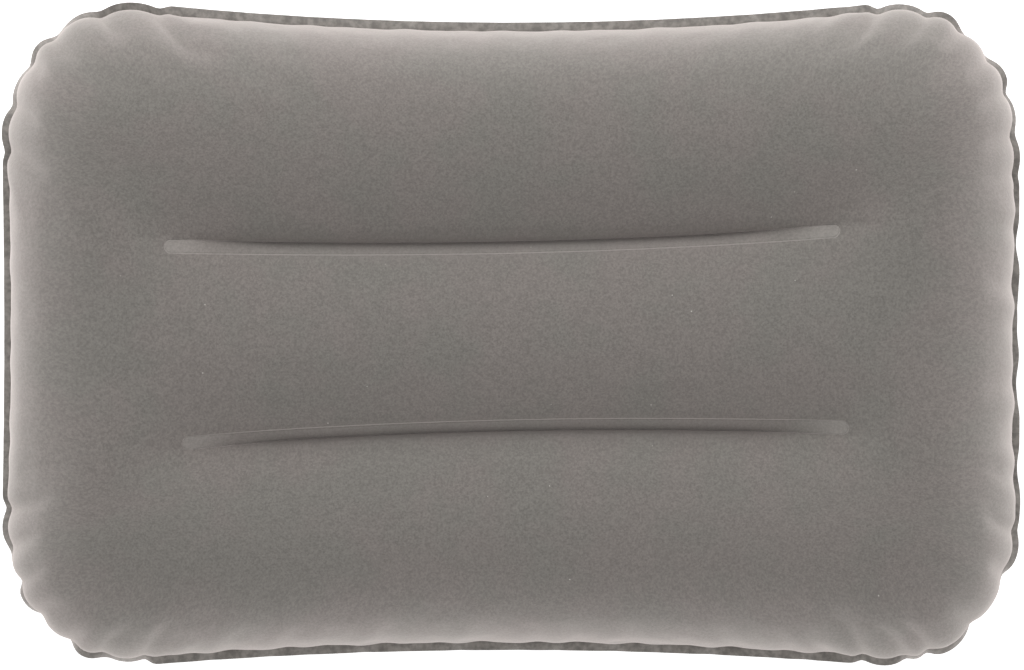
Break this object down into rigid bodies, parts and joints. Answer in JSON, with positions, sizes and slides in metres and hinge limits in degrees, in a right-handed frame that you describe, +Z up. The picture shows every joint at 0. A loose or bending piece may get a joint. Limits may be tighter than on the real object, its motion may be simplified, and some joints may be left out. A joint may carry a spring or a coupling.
{
  "type": "inflatable camp pillow",
  "caption": "Inflatable flocked camp pillow: two welded sheets held in long lobes by inner baffles, with a push-in pinch valve, stopper and check flap under one short end.",
  "frame": {"origin": "centre of the bounding box's underside, on the surface that the inflated pillow lies on", "axes": "+X along the pillow's length towards the valve end, +Y across it towards the rear baffle, +Z up through its thickness"},
  "size_m": [0.43, 0.281, 0.0962],
  "materials": {
    "flocked_pvc": "short grey-brown flock, matt with a soft sheen at grazing angles",
    "plain_pvc": "dark grey soft PVC sheet, fine embossed grain, satin",
    "baffle_film": "grey PVC film, satin",
    "moulded_pvc": "dark grey soft moulded PVC, satin",
    "flap_film": "thin milky PVC film, smooth"
  },
  "bodies": {
    "pillow": {"top_panel": "flocked_pvc", "bottom_panel": "plain_pvc", "rear_baffle": "baffle_film", "front_baffle": "baffle_film", "valve_base": "moulded_pvc"},
    "stem": {"valve_stem": "moulded_pvc"},
    "stopper": {"valve_plug": "moulded_pvc", "plug_strap": "moulded_pvc"},
    "flap": {"check_flap": "flap_film"}
  },
  "joints": [
    {"name": "stem_pull", "type": "slide", "parent": "pillow", "child": "stem", "axis": [0.8192, 0, -0.5736], "range_m": [0, 0.009]},
    {"name": "stopper_flip", "type": "hinge", "parent": "stem", "child": "stopper", "pos_m": [0.20632, 0, 0.0259], "axis": [0, -1, 0], "range_deg": [0, 160]},
    {"name": "flap_swing", "type": "hinge", "parent": "stem", "child": "flap", "pos_m": [0.17752, 0, 0.028], "axis": [0, -1, 0], "range_deg": [0, 45]}
  ]
}
